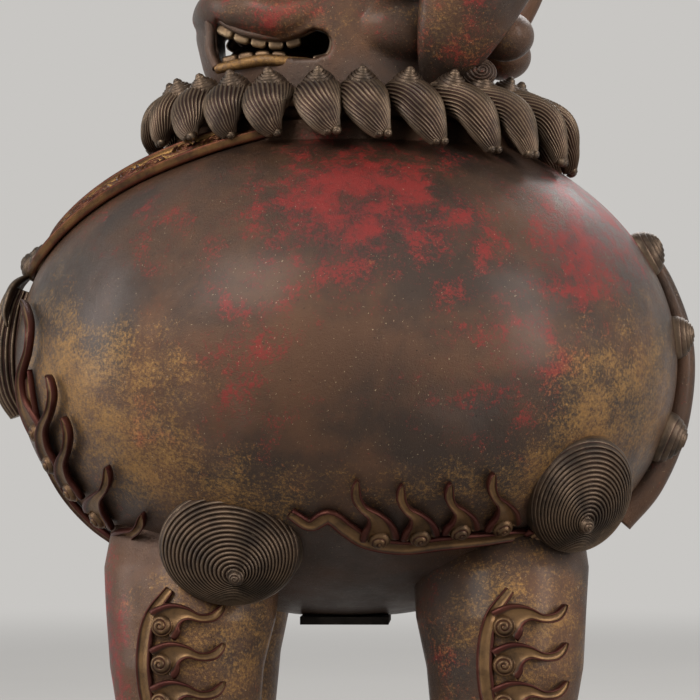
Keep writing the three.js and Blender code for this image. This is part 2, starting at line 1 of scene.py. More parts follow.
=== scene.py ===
import math
import bpy
import numpy as np
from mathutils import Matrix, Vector


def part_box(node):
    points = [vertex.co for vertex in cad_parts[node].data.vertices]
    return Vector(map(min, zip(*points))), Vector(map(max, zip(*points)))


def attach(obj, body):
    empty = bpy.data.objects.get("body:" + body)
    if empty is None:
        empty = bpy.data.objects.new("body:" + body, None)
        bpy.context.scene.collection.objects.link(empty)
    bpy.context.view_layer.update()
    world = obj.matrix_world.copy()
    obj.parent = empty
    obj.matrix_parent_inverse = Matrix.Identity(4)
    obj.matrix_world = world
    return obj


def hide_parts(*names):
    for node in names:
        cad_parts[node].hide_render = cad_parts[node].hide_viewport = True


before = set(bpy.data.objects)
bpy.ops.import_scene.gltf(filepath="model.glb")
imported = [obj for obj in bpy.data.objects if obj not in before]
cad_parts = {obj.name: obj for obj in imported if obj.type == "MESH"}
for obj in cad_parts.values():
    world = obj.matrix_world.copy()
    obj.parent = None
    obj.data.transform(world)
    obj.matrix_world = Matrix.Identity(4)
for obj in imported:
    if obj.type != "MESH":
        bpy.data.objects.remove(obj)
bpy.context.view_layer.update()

# Shapes are in millimetres round the middle of the ball, then shifted to the origin of the frame.
low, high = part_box("belly_shell")
SHIFT = np.array([(low.x + high.x) * 500, 0.0, 0.0])
BALL = np.array([175.0, 159.0, 133.0])
BALL_Z = 255.0
NECK_TOP = 384.0


# Mesh helpers

def make(name, verts, faces, material, body, replaces=()):
    mesh = bpy.data.meshes.new(name)
    points = (np.asarray(verts, float) + SHIFT) / 1000
    mesh.from_pydata(points.tolist(), [], faces)
    mesh.update()
    mesh.shade_smooth()
    obj = bpy.data.objects.new(name, mesh)
    bpy.context.scene.collection.objects.link(obj)
    obj.data.materials.append(material)
    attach(obj, body)
    if replaces:
        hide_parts(*replaces)
    return obj


def skin(rings, caps=True, start=0):
    """Vertices and faces of a closed skin over rings of equal count."""
    rings = np.asarray(rings, float)
    count, sides = rings.shape[:2]
    verts = rings.reshape(-1, 3).tolist()
    index = np.arange(count * sides).reshape(count, sides)
    nxt = np.roll(index, -1, axis=1)
    faces = np.stack([index[:-1], nxt[:-1], nxt[1:], index[1:]], axis=-1).reshape(-1, 4).tolist()
    if caps:
        for ring, flip in ((0, True), (count - 1, False)):
            verts.append(rings[ring].mean(axis=0).tolist())
            middle = len(verts) - 1
            row = index[ring]
            for i in range(sides):
                a, b = int(row[i]), int(row[(i + 1) % sides])
                faces.append([b, a, middle] if flip else [a, b, middle])
    return verts, [[v + start for v in f] for f in faces]


class Pile:
    """Several skins that become one object."""

    def __init__(self):
        self.verts = []
        self.faces = []

    def add(self, rings, caps=True):
        verts, faces = skin(rings, caps, len(self.verts))
        self.verts += verts
        self.faces += faces

    def make(self, name, material, body, slot, replaces=()):
        return make(name, self.verts, self.faces, material, body, replaces)


def unit(v):
    v = np.asarray(v, float)
    return v / np.maximum(np.linalg.norm(v, axis=-1, keepdims=True), 1e-9)


def spline(points, count):
    """Smooth course through points, evenly spaced."""
    p = np.asarray(points, float)
    p = np.vstack([2 * p[0] - p[1], p, 2 * p[-1] - p[-2]])
    out = []
    for i in range(1, len(p) - 2):
        for t in np.linspace(0, 1, 24, endpoint=False):
            a, b, c, d = p[i - 1], p[i], p[i + 1], p[i + 2]
            out.append(0.5 * (2 * b + (c - a) * t + (2 * a - 5 * b + 4 * c - d) * t * t
                              + (3 * b - a - 3 * c + d) * t ** 3))
    out.append(p[-2])
    out = np.array(out)
    length = np.concatenate([[0], np.cumsum(np.linalg.norm(np.diff(out, axis=0), axis=1))])
    at = np.linspace(0, length[-1], count)
    return np.stack([np.interp(at, length, out[:, k]) for k in range(out.shape[1])], axis=1)


def ball_point(direction, height=0.0):
    """Point over the ball along a direction, and the outward normal there."""
    d = unit(direction)
    reach = 1 / np.linalg.norm(d / BALL, axis=-1, keepdims=True)
    p = d * reach
    normal = unit(p / BALL ** 2)
    return p + normal * height + np.array([0, 0, BALL_Z]), normal


def flank(xz, side, height=0.0):
    xz = np.asarray(xz, float)
    x, z = xz[..., 0], xz[..., 1]
    level = 1 - (x / BALL[0]) ** 2 - ((z - BALL_Z) / BALL[2]) ** 2
    y = side * BALL[1] * np.sqrt(np.maximum(level, 0.004))
    return ball_point(np.stack([x, y, z - BALL_Z], axis=-1), height)


def tube(points, radius, sides=24, count=60, wide=(0, 1, 0), flatten=1.0, ribs=0, depth=0.0, twist=0.0):
    """Rings of a bar along a course; ribs run along it."""
    course = spline(points, count)
    along = unit(np.gradient(course, axis=0))
    side = np.tile(np.asarray(wide, float), (count, 1))
    side = unit(side - along * np.sum(side * along, axis=1, keepdims=True))
    face = np.cross(along, side)
    t = np.linspace(0, 1, count)[:, None]
    turn = np.linspace(0, 2 * math.pi, sides, endpoint=False)[None, :]
    r = np.asarray(radius(t)) * np.ones_like(turn)
    if ribs:
        r = r * (1 - depth * (0.5 + 0.5 * np.cos(ribs * (turn + twist * t))))
    return (course[:, None, :] + side[:, None, :] * (r * np.cos(turn))[..., None]
            + face[:, None, :] * (flatten * r * np.sin(turn))[..., None])


STRIP = [(-0.96, 0.12), (-1.04, 0.5), (-0.98, 0.9), (-0.82, 1.0), (-0.66, 0.92), (-0.52, 0.6),
         (0.0, 0.68), (0.52, 0.6), (0.66, 0.92), (0.82, 1.0), (0.98, 0.9), (1.04, 0.5), (0.96, 0.12)]


def strip(points, normals, half, thickness, base=0.6, section=STRIP):
    """Rings of a strip with raised rims that lies on a carrier."""
    along = unit(np.gradient(points, axis=0))
    across = unit(np.cross(normals, along))
    half = np.asarray(half, float).reshape(-1, 1)
    rings = []
    for share, height in section:
        rings.append(points + across * share * half + normals * (base + height * thickness))
    return np.stack(rings, axis=1)


def axes_of(normal):
    n = unit(normal)
    up = np.array([0.0, 0.0, 1.0]) if abs(n[2]) < 0.9 else np.array([1.0, 0.0, 0.0])
    x = unit(np.cross(up, n))
    return n, x, np.cross(n, x)


def dome(centre, normal, radii, height, ridges, depth, tip=(0, 0), rings=90, sides=72, skirt=6.0,
         spiral=1,
         bulge=0.62):
    """Rings of a mound whose ridges wind up to a tip that may sit off its middle."""
    n, ax, ay = axes_of(normal)
    share = np.linspace(1, 0.015, rings)[:, None]
    turn = np.linspace(0, 2 * math.pi, sides, endpoint=False)[None, :]
    climb = 1 - share
    phase = ridges * share + spiral * turn / (2 * math.pi)
    wave = np.abs(np.sin(math.pi * phase)) ** 0.55
    fade = np.minimum(1, climb * 14) * np.minimum(1, share * 6)
    up = height * (np.sin(climb * math.pi / 2) ** bulge) + depth * (wave - 0.6) * fade
    px = tip[0] * climb + radii[0] * share * np.cos(turn)
    py = tip[1] * climb + radii[1] * share * np.sin(turn)
    rows = (np.asarray(centre)[None, None, :] + ax * px[..., None] + ay * py[..., None] + n * up[...,
                                                                                                 None])
    foot = rows[:1] - n * skirt
    return np.concatenate([foot, rows], axis=0)


def rough(rings, size, amount, seed=0.0):
    """Slow unevenness of a cast and filed surface."""
    p = rings / size + seed
    wave = (np.sin(p[..., 0] * 1.7 + 1.3 * np.sin(p[..., 2])) + np.sin(p[...,
                                                                         1] * 2.1 + np.sin(p[...,
                                                                                             0] * 1.3))
            + np.sin(p[..., 2] * 1.9 + 1.1 * np.sin(p[..., 1])))
    out = unit(rings - rings.mean(axis=1, keepdims=True))
    return rings + out * (amount * wave / 3)[..., None]


# Materials

def lin(r, g, b):
    return tuple((c / 255 / 12.92) if c / 255 <= 0.04045 else ((c / 255 + 0.055) / 1.055) ** 2.4
                 for c in (r, g, b)) + (1.0,)


DARK = lin(62, 50, 43)
BROWN = lin(96, 68, 50)
RED = lin(138, 30, 26)
DEEP_RED = lin(86, 24, 21)
GOLD = lin(196, 150, 84)
OLD_GOLD = lin(128, 92, 54)
GREY = lin(112, 104, 102)
BLACK = lin(24, 20, 18)


class Tree:
    def __init__(self, name):
        self.material = bpy.data.materials.new(name)
        self.material.use_nodes = True
        self.tree = self.material.node_tree
        self.shader = next(n for n in self.tree.nodes if n.type == "BSDF_PRINCIPLED")
        place = self.tree.nodes.new("ShaderNodeTexCoord")
        self.where = place.outputs["Object"]

    def put(self, socket, value):
        if isinstance(value, bpy.types.NodeSocket):
            self.tree.links.new(value, socket)
        else:
            socket.default_value = value

    def math(self, kind, a, b=0.0, clamp=False):
        node = self.tree.nodes.new("ShaderNodeMath")
        node.operation = kind
        node.use_clamp = clamp
        self.put(node.inputs[0], a)
        self.put(node.inputs[1], b)
        return node.outputs[0]

    def noise(self, scale, detail=5.0, rough=0.6, stretch=(1, 1, 1), distortion=0.0, offset=0.0):
        move = self.tree.nodes.new("ShaderNodeMapping")
        move.inputs["Scale"].default_value = stretch
        move.inputs["Location"].default_value = (offset, offset * 0.7, -offset)
        self.put(move.inputs["Vector"], self.where)
        node = self.tree.nodes.new("ShaderNodeTexNoise")
        self.put(node.inputs["Vector"], move.outputs[0])
        node.inputs["Scale"].default_value = scale
        node.inputs["Detail"].default_value = detail
        node.inputs["Roughness"].default_value = rough
        node.inputs["Distortion"].default_value = distortion
        return node.outputs["Fac"]

    def ramp(self, value, start, end, low=0.0, high=1.0):
        node = self.tree.nodes.new("ShaderNodeMapRange")
        node.interpolation_type = "SMOOTHSTEP"
        self.put(node.inputs["Value"], value)
        node.inputs["From Min"].default_value = start
        node.inputs["From Max"].default_value = end
        node.inputs["To Min"].default_value = low
        node.inputs["To Max"].default_value = high
        return node.outputs["Result"]

    def blob(self, x, z, rx, rz):
        """1 in the middle of an oval seen from the side, 0 outside it; x and z in mm round the ball."""
        move = self.tree.nodes.new("ShaderNodeMapping")
        move.vector_type = "TEXTURE"
        move.inputs["Location"].default_value = ((x + SHIFT[0]) / 1000, 0, z / 1000)
        move.inputs["Scale"].default_value = (rx / 1000, 1000, rz / 1000)
        self.put(move.inputs["Vector"], self.where)
        far = self.tree.nodes.new("ShaderNodeVectorMath")
        far.operation = "LENGTH"
        self.put(far.inputs[0], move.outputs[0])
        return self.ramp(far.outputs["Value"], 1.25, 0.2)

    def mix(self, share, a, b):
        node = self.tree.nodes.new("ShaderNodeMix")
        node.data_type = "RGBA"
        self.put(node.inputs["Factor"], share)
        self.put(node.inputs["A"], a)
        self.put(node.inputs["B"], b)
        return next(o for o in node.outputs if o.type == "RGBA")

    def total(self, *values):
        out = values[0]
        for v in values[1:]:
            out = self.math("ADD", out, v)
        return out

    def times(self, a, b):
        return self.math("MULTIPLY", a, b)

    def bump(self, height, strength, distance):
        node = self.tree.nodes.new("ShaderNodeBump")
        node.inputs["Strength"].default_value = strength
        node.inputs["Distance"].default_value = distance
        self.put(node.inputs["Height"], height)
        if self.shader.inputs["Normal"].is_linked:
            self.put(node.inputs["Normal"], self.shader.inputs["Normal"].links[0].from_socket)
        self.put(self.shader.inputs["Normal"], node.outputs[0])

    def finish(self, colour, metallic, roughness, coat=0.0):
        self.put(self.shader.inputs["Base Color"], colour)
        self.put(self.shader.inputs["Metallic"], metallic)
        self.put(self.shader.inputs["Roughness"], roughness)
        if coat:
            self.shader.inputs["Coat Weight"].default_value = coat
            self.shader.inputs["Coat Roughness"].default_value = 0.25
        return self.material


def lacquered(name, red_spots, gold_spots, dark_and_shade_spots, red=0.0, gold=0.0, red_colour=RED):
    """Red lacquer, gold grain and dark bronze, worn through each other; some dark spots are painted
    shade under and between parts.
    """
    t = Tree(name)
    patch = t.noise(16, 6, 0.62, distortion=0.4)
    cloud = t.noise(55, 8, 0.72, offset=3.1)
    grain = t.noise(620, 7, 0.8, offset=7.7)
    fine = t.noise(1500, 3, 0.7, offset=1.9)
    streak = t.noise(48, 8, 0.74, stretch=(0.8, 1, 1.5), offset=5.2)

    def field(spots, base, sway, swing):
        value = t.total(*[t.times(t.blob(*spot[:4]), spot[4]) for spot in spots]) if spots else 0.0
        value = t.math("ADD", value, base)
        value = t.math("ADD", value, t.times(t.math("SUBTRACT", sway, 0.5), swing))
        return t.math("ADD", value, t.times(t.math("SUBTRACT", grain, 0.5), 2.6))

    # Dark spots: partly dark tone of the bronze, partly painted shade under the ball, under the mane and
    # between parts.
    dark_and_shade_mask = t.ramp(t.total(*[t.times(t.blob(*s[:4]),
                                         s[4]) for s in dark_and_shade_spots]) if dark_and_shade_spots else 0.0, 0.0, 1.0)
    red_mask = t.ramp(field(red_spots, red, cloud, 2.3), 0.34, 0.86)
    gold_mask = t.ramp(field(gold_spots, gold, streak, 1.7), 0.30, 1.0)
    ground = t.mix(t.ramp(patch, 0.35, 0.68), DARK, BROWN)
    ground = t.mix(t.ramp(t.noise(9, 5, 0.6, offset=9.4), 0.5, 0.75, 0.0, 0.35), ground, GREY)
    reds = t.mix(t.ramp(cloud, 0.4, 0.62), DEEP_RED, red_colour)
    colour = t.mix(t.times(red_mask, 0.88), ground, reds)
    colour = t.mix(t.times(gold_mask, 0.7), colour, t.mix(grain, OLD_GOLD, GOLD))
    colour = t.mix(t.times(dark_and_shade_mask, 0.6), colour, DARK)
    specks = t.ramp(t.noise(900, 2, 0.5, offset=11.0), 0.71, 0.74)
    colour = t.mix(t.times(specks, 0.55), colour, lin(190, 170, 140))
    pits = t.ramp(t.noise(700, 2, 0.5, offset=13.0), 0.70, 0.74)
    colour = t.mix(t.times(pits, 0.6), colour, BLACK)
    rough_value = t.math("ADD", t.ramp(cloud, 0.3, 0.7, 0.24, 0.42), t.times(grain, 0.24))
    metal = t.math("SUBTRACT", 0.72, t.times(red_mask, 0.42))
    t.bump(t.total(t.times(cloud, 0.6), t.times(patch, 1.0)), 0.35, 0.0022)
    t.bump(t.total(grain, t.times(fine, 0.6), t.times(pits, -1.2)), 0.5, 0.0009)
    return t.finish(colour, metal, rough_value, coat=0.15)


def patinated(name, dark=DARK, light=BROWN, worn=GOLD, wear=0.4, red=0.0, roughness=0.42):
    """Dark cast bronze with polished ridges, traces of red in its hollows, and painted shade darkening
    the hollows.
    """
    t = Tree(name)
    cloud = t.noise(60, 7, 0.7, offset=2.2)
    grain = t.noise(500, 6, 0.75, offset=4.4)
    geo = t.tree.nodes.new("ShaderNodeNewGeometry")
    ridge = t.ramp(geo.outputs["Pointiness"], 0.49, 0.56)
    hollow = t.ramp(geo.outputs["Pointiness"], 0.51, 0.44)
    colour = t.mix(t.ramp(cloud, 0.35, 0.65), dark, light)
    share = t.math("MULTIPLY", ridge, t.ramp(cloud, 0.3, 0.6, 0.3, 1.0))
    colour = t.mix(t.times(share, wear), colour, worn)
    if red:
        colour = t.mix(t.times(t.ramp(t.math("ADD", hollow, t.math("SUBTRACT", grain, 0.5)), 0.3, 0.8),
                               red),
                       colour, RED)
    # Painted shade: hollows darkened halfway toward black.
    colour = t.mix(t.times(hollow, 0.5), colour, BLACK)
    t.bump(t.total(grain, t.times(cloud, 0.7)), 0.35, 0.0006)
    return t.finish(colour, 0.78, t.math("ADD", t.times(grain, 0.2), roughness - 0.1))


skin_mat = lacquered(
    "lacquered ball",
    red_spots=[(10, 330, 75, 55, 0.75), (135, 330, 40, 60, 0.7), (95, 285, 45, 60, 0.42),
               (-45, 265, 45, 45, 0.42),
               (-100, 320, 60, 30, 0.3), (60, 240, 60, 40, 0.25), (-60, 215, 60, 30, 0.25)],
    gold_spots=[(-110, 236, 65, 60, 0.62), (135, 232, 50, 60, 0.68), (90, 190, 60, 30, 0.45),
                (-70, 190, 60, 30, 0.4),
                (-150, 270, 30, 60, 0.4), (160, 285, 20, 60, 0.3), (0, 190, 80, 25, 0.35)],
    # (20, 255) and (-60, 300) are dark tone; (0, 128) is painted shade on the ball's underside.
    dark_and_shade_spots=[(20, 255, 55, 60, 0.5), (0, 128, 130, 30, 1.0), (-60, 300, 60, 25, 0.3),
                # (0, 395) is a painted shadow of the mane's curls on the top of the ball.
                (0, 395, 200, 18, 0.7)],
    red=0.02, gold=-0.06,
)
leg_mat = lacquered(
    "lacquered legs",
    red_spots=[(-118, 110, 16, 60, 0.7), (45, 90, 30, 70, 0.35)],
    gold_spots=[(-60, 120, 60, 60, 0.5), (90, 120, 60, 60, 0.5), (90, 40, 80, 50, 0.4),
                (-80, 40, 80, 50, 0.4)],
    # Painted shade on the tops of the legs just under the ball.
    dark_and_shade_spots=[(-20, 150, 40, 25, 0.5)],
    red=0.0, gold=0.02,
)
head_mat = lacquered(
    "lacquered head",
    red_spots=[(-40, 440, 60, 30, 0.35), (60, 440, 40, 60, 0.35)],
    gold_spots=[(-20, 430, 60, 30, 0.3), (60, 430, 40, 40, 0.35), (0, 520, 80, 60, 0.3)],
    # Painted shade at the head's lower edge, where it meets the mane.
    dark_and_shade_spots=[(-10, 400, 80, 14, 0.6)],
    red=0.08, gold=0.0,
)
lip_mat = lacquered("worn lips", [], [], [], red=0.12, gold=0.05)
gold_lip_mat = lacquered("gilt lip", [], [], [], red=0.1, gold=0.75)
tongue_mat = lacquered("red tongue", [], [], [], red=0.35, gold=0.0)
curl_mat = patinated("dark curls", dark=lin(48, 41, 37), light=lin(82, 66, 54), worn=lin(150, 128, 104),
                     wear=0.5,
                     red=0.12)
flame_mat = patinated("gilt flames", dark=lin(52, 40, 33), light=lin(84, 62, 46),
                      worn=lin(178, 138, 90), wear=0.5,
                      red=0.3)
relief_mat = patinated("gilt relief", dark=lin(70, 48, 32), light=lin(120, 86, 50), worn=GOLD, wear=0.8,
                       red=0.3)
tooth_mat = patinated("gilt teeth", dark=lin(92, 72, 56), light=lin(140, 112, 84),
                      worn=lin(205, 180, 140), wear=0.6)
soot_mat = patinated("soot", dark=BLACK, light=lin(52, 46, 42), worn=lin(90, 84, 78), wear=0.3,
                     roughness=0.8)


# Ball

def ball():
    turn = np.linspace(0, 2 * math.pi, 288, endpoint=False)
    rings = []
    for phi in np.linspace(-0.499 * math.pi, 0.32 * math.pi, 150):
        rings.append((BALL[0] * math.cos(phi), BALL[1] * math.cos(phi),
                      BALL_Z + BALL[2] * math.sin(phi)))
    rings += [(88, 85, 376.5), (82.5, 81, 378), (80, 80, 380), (80, 80, 382.6), (79.4, 79.4, 383.7),
              (78, 78, NECK_TOP)]
    rings += [(76, 76, NECK_TOP), (74.6, 74.6, 383.6), (74, 74, 382.5), (74, 74, 374)]
    for phi in np.linspace(0.33 * math.pi, -0.499 * math.pi, 50):
        rings.append((169 * math.cos(phi), 153 * math.cos(phi), BALL_Z + 127 * math.sin(phi)))
    out = np.array([[(rx * math.cos(a), ry * math.sin(a), z) for a in turn] for rx, ry, z in rings])
    outer = slice(0, 150)
    out[outer] = rough(out[outer], 42.0, 0.45)
    out[..., 2] = np.maximum(out[..., 2], 123.6)
    verts, faces = skin(out, caps=True)
    return make("ball", verts, faces, skin_mat, "base", ["belly_shell"])


ball()

# Legs

LEGS = {"front": -76.0, "hind": 81.0}


def leg_rings(x, side):
    y = side * 76.0
    lean = -1 if x < 0 else 1
    keys = np.array([
        # z, x, y, rx, ry
        [188, x, y * 0.62, 36, 24], [170, x, y * 0.76, 41, 30], [150, x, y * 0.87, 43.5, 33],
        [125, x, y * 0.97, 41.5, 34], [100, x + 2 * lean, y, 38, 33], [76, x + lean, y, 35, 31],
        [46, x, y, 31.5, 28.5], [30, x - 2, y, 34, 31], [16, x - 4, y, 37.5, 34.5],
                     [5, x - 5, y, 38.8, 35.8],
        [1.2, x - 5, y, 38, 35], [0, x - 5, y, 36, 33],
    ])
    heights = np.concatenate([np.linspace(188, 12, 90), np.linspace(11, 0, 10)])
    order = keys[::-1]
    turn = np.linspace(0, 2 * math.pi, 96, endpoint=False)
    rings = []
    for z in heights:
        cx, cy, rx, ry = [np.interp(z, order[:, 0], order[:, k]) for k in (1, 2, 3, 4)]
        square = 1 + 0.03 * np.cos(4 * turn)
        rings.append(np.stack([cx + rx * np.cos(turn) * square, cy + ry * np.sin(turn) * square,
                               np.full_like(turn, z)], axis=1))
    return rough(np.array(rings), 24.0, 0.5, seed=x * 0.1 + side)


for end, leg_x in LEGS.items():
    for side_name, side in (("left", -1), ("right", 1)):
        pile = Pile()
        pile.add(leg_rings(leg_x, side))
        for offset in (-24, -8, 8, 24):
            y = side * 76.0
            toe_x = leg_x - 36 + abs(offset) * 0.32
            path = [(leg_x - 12, y + offset * 0.6, 30), (toe_x + 6, y + offset, 26),
                    (toe_x - 4, y + offset * 1.1, 16),
                    (toe_x - 7, y + offset * 1.12, 6)]
            pile.add(np.maximum(tube(path, lambda t: 9.5 - 3.5 * t * t, 20, 24), [-999, -999, 0.2]))
            claw = [(toe_x - 4, y + offset * 1.1, 12), (toe_x - 9, y + offset * 1.12, 8),
                    (toe_x - 11, y + offset * 1.12, 2)]
            pile.add(np.maximum(tube(claw, lambda t: 4.6 * (1.02 - t) ** 0.7, 16, 16),
                                [-999, -999, 0.2]))
        pile.make(f"{end} leg {side_name}".replace(" ", "_"), leg_mat, "base", "gilt",
                  [f"{end}_leg_{side_name}"])

# Hair whorls

WHORLS = {
    "front": ((-54, 112, 161), (-0.14, 0.95, -0.26), (6, -11), (36, 30), 19),
    "hind": ((121, 92, 187), (0.45, 0.8, -0.38), (-3, -10), (29, 31), 19),
}
for end, (at, facing, tip, radii, ridges) in WHORLS.items():
    for side_name, side in (("left", -1), ("right", 1)):
        centre = (at[0], side * at[1], at[2])
        facing_side = (facing[0], side * facing[1], facing[2])
        pile = Pile()
        # dome() turns its own x axis with the side, so the tip's sideways offset changes sign too
        pile.add(dome(centre, facing_side, radii, 15, ridges, 1.7, (-side * tip[0], tip[1]), 260, 120,
                      30, side, 0.62))
        n, ax, ay = axes_of(facing_side)
        knob = np.asarray(centre) + ax * (-side * tip[0]) + ay * tip[1] + n * 14.6
        pile.add(dome(knob, facing_side, (4.2, 4.2), 4.6, 2.5, 0.8, rings=40, sides=40, skirt=3,
                      spiral=side, bulge=0.6))
        pile.make(f"{end}_whorl_curl_{side_name}", curl_mat, "base", "dark_bronze",
                  [f"{end}_whorl_{side_name}"])

# Flame bands


def on_leg(leg_x):
    def carrier(uv, side):
        uv = np.asarray(uv, float)
        x, z = uv[..., 0], uv[..., 1]
        ry = np.interp(z, [46, 76, 100, 125, 150], [28.5, 31, 33, 34, 33])
        rx = np.interp(z, [46, 76, 100, 125, 150], [31.5, 35, 38, 41.5, 43.5])
        mid = np.interp(z, [100, 125, 150], [76, 73.7, 66.1])
        share = np.clip((x - leg_x) / rx, -0.93, 0.93)
        deep = np.sqrt(1 - share ** 2)
        at = np.stack([x, side * (mid + ry * deep), z], axis=-1)
        normal = unit(np.stack([share / rx, side * deep / ry, np.zeros_like(x)], axis=-1))
        return at, normal
    return carrier


def tongue_course(root, tip, bend):
    """S-shaped flame from root to tip in the flat, bend to the left or right."""
    root, tip = np.asarray(root, float), np.asarray(tip, float)
    along = tip - root
    across = np.array([-along[1], along[0]]) * bend
    shares = [(0, 0), (0.22, 0.2), (0.42, 0.16), (0.6, -0.1), (0.78, -0.17), (0.92, -0.04), (1, 0.1)]
    return [root + along * t + across * s for t, s in shares]


def flames(name, route, tongues, side, carrier, node, band_half=5.0, bend=0.5, root_half=8.5):
    pile = Pile()
    course = spline(route, 90)
    at, normal = carrier(course, side)
    t = np.linspace(0, 1, 90)
    pile.add(strip(at, normal, band_half * (0.3 + 0.7 * np.sin(math.pi * (0.06 + 0.9 * t)) ** 0.6), 3.6,
                   0.4))
    for root, tip in tongues:
        path = spline(tongue_course(root, tip, bend), 44)
        at, normal = carrier(path, side)
        s = np.linspace(0, 1, 44)
        half = root_half * ((1 - s) ** 0.7) * (0.72 + 0.38 * np.cos(2 * math.pi * (s - 0.05))) + 0.5
        lift = 0.6 + 2.2 * np.sin(math.pi * s * 0.9)
        rings = strip(at, normal, half, 4.3, 0.0)
        rings += (normal * lift[:, None])[:, None, :]
        pile.add(rings)
        point, out = carrier(np.array([root]), side)
        middle = point[0] + out[0] * 3.6
        pile.add(dome(middle, out[0], (5.6, 5.6), 3.6, 2.2, 1.0, rings=36, sides=36, skirt=3.5,
                      spiral=side, bulge=0.7))
    return pile.make(name, flame_mat, "base", "dark_bronze", [node])




def seen(points, near):
    """Places read off the plane of the photograph, drawn in to the nearer flank."""
    return [(x / near, 263 + (z - 263) / near) for x, z in points]


BELLY_ROUTE = seen([(-24, 174), (-14, 168), (-4, 172), (6, 165), (16, 159), (34, 156), (54, 158),
                    (76, 160), (98, 162),
                    (110, 158)], 1.07)
BELLY_TONGUES = [seen(pair, 1.07) for pair in (((22, 161), (10, 191)), ((43, 162), (33, 189)),
                                               ((64, 165), (58, 190)),
                                               ((86, 167), (80, 195)), ((104, 162), (112, 184)))]
SHOULDER_ROUTE = seen([(-163, 250), (-160, 228), (-155, 206), (-146, 186), (-133, 171), (-118, 160),
                       (-108, 148)], 1.03)
SHOULDER_TONGUES = [seen(pair, 1.03) for pair in (((-158, 218), (-165, 287)),
                                                  ((-151, 202), (-147, 247)),
                                                  ((-140, 188), (-139, 226)),
                                                  ((-126, 174), (-116, 201)),
                                                  ((-112, 160), (-99, 177)))]
for side_name, side in (("left", -1), ("right", 1)):
    flames(f"belly_flame_band_{side_name}", BELLY_ROUTE, BELLY_TONGUES, side, flank,
           f"belly_flames_{side_name}",
           bend=-0.4)
    flames(f"shoulder_flame_band_{side_name}", SHOULDER_ROUTE, SHOULDER_TONGUES, side, flank,
           f"shoulder_flames_{side_name}", bend=0.35)
    for end, leg_x in LEGS.items():
        lead = -18 if end == "front" else -6
        route = [(leg_x + lead + 10, 140), (leg_x + lead + 1, 126), (leg_x + lead - 2, 108),
                 (leg_x + lead - 1, 90),
                 (leg_x + lead + 3, 74), (leg_x + lead + 9, 60)]
        tongues = [((leg_x + lead + 7, 122 - 19 * i),
                    (leg_x + lead + 36, 131 - 19 * i)) for i in range(4)]
        flames(f"{end}_leg_flame_band_{side_name}", route, tongues, side, on_leg(leg_x),
               f"{end}_leg_flames_{side_name}", band_half=4.2, bend=0.5)

# Chest strap with scrolls between its rims


def strap():
    half = [(-28, 63), (-45, 67), (-75, 66), (-103, 58), (-130, 44), (-150, 26)]
    plan = half + [(-159, 0)] + [(x, -y) for x, y in reversed(half)]
    course = spline(plan, 700)
    x, y = course[:, 0], course[:, 1]
    level = np.maximum(1 - (x / BALL[0]) ** 2 - (y / BALL[1]) ** 2, 0.01)
    local = np.stack([x, y, BALL[2] * np.sqrt(level)], axis=1)
    at, normal = ball_point(local)
    along = unit(np.gradient(at, axis=0))
    across = unit(np.cross(normal, along))
    length = np.concatenate([[0], np.cumsum(np.linalg.norm(np.diff(at, axis=0), axis=1))])[:, None]
    v = np.linspace(-1, 1, 61)[None, :]
    wave = 17.0
    phase = 2 * math.pi * length / (2 * wave)
    vine = np.exp(-((v - 0.34 * np.sin(phase)) / 0.1) ** 2)
    cell = np.round(length / wave - 0.5)
    cu = length - (cell + 0.5) * wave
    cv = v * 12.5 + 3.6 * np.sin(2 * math.pi * (cell + 0.5) * wave / (2 * wave))
    radius = np.sqrt(cu ** 2 + cv ** 2)
    angle = np.arctan2(cv, cu)
    scroll = np.where(radius < 7.4,
                      0.5 + 0.5 * np.cos(2 * math.pi * (radius / 2.9 - angle / (2 * math.pi))), 0)
    leaf = 0.35 * np.abs(np.sin(length * 0.9)) * np.abs(np.sin(v * 9))
    inner = np.clip((0.74 - np.abs(v)) * 14, 0, 1)
    relief = inner * np.clip(np.maximum(vine, scroll ** 1.5) + leaf * 0.5, 0, 1.2) * 2.1
    rim = np.exp(-((np.abs(v) - 0.86) / 0.09) ** 2) * 3.0
    height = 1.0 + 1.6 * np.clip((1 - np.abs(v)) * 18, 0, 1) + relief + rim
    top = at[:, None, :] + across[:, None, :] * (v * 12.5)[..., None] + normal[:, None, :] * height[...,
                                                                                                    None]
    bottom = at[:, None, :] + across[:, None, :] * (v[:, ::-1] * 12.2)[..., None] + normal[:, None,
                                                                                           :] * 0.5
    rings = np.concatenate([top, bottom], axis=1)
    verts, faces = skin(rings)
    make("scrolled_strap", verts, faces, relief_mat, "base", ["chest_strap"])


strap()


def tassel():
    pile = Pile()
    path = [ball_point((-175, 0, z), h)[0] for z, h in ((40, 4), (28, 4), (8, 3), (-12, 2), (-26, -1))]
    pile.add(tube(path, lambda t: 8 + 6.0 * np.sin(math.pi * np.minimum(1, 0.1 + 0.8 * t)), 120, 80,
                  (0, 1, 0), 0.85, 22, 0.12))
    for i in range(5):
        a = (i - 2) * 0.5
        path = [ball_point((-175, 0, 50), 4)[0], ball_point((-175, 9 * a, 40), 9)[0],
                ball_point((-175, 15 * a, 27), 9)[0], ball_point((-175, 17 * a, 19), 6)[0]]
        pile.add(tube(path, lambda t: 0.6 + 4.2 * np.sin(math.pi * np.minimum(0.98, 0.1 + 0.85 * t)),
                      24, 30, (0, 1, 0), 0.5))
    knot = ball_point((-175, 0, 55), 6)
    pile.add(dome(knot[0], knot[1], (8, 8), 6, 3, 0.9, rings=50, sides=50, skirt=8))
    for side in (-1, 1):
        at, out = ball_point((-172, side * 16, 60), 3)
        pile.add(dome(at, out, (7.5, 7.5), 5, 2, 1.4, rings=50, sides=50, skirt=6, spiral=side))
    pile.make("tassel_with_cap", curl_mat, "base", "gilt", ["chest_tassel"])


tassel()

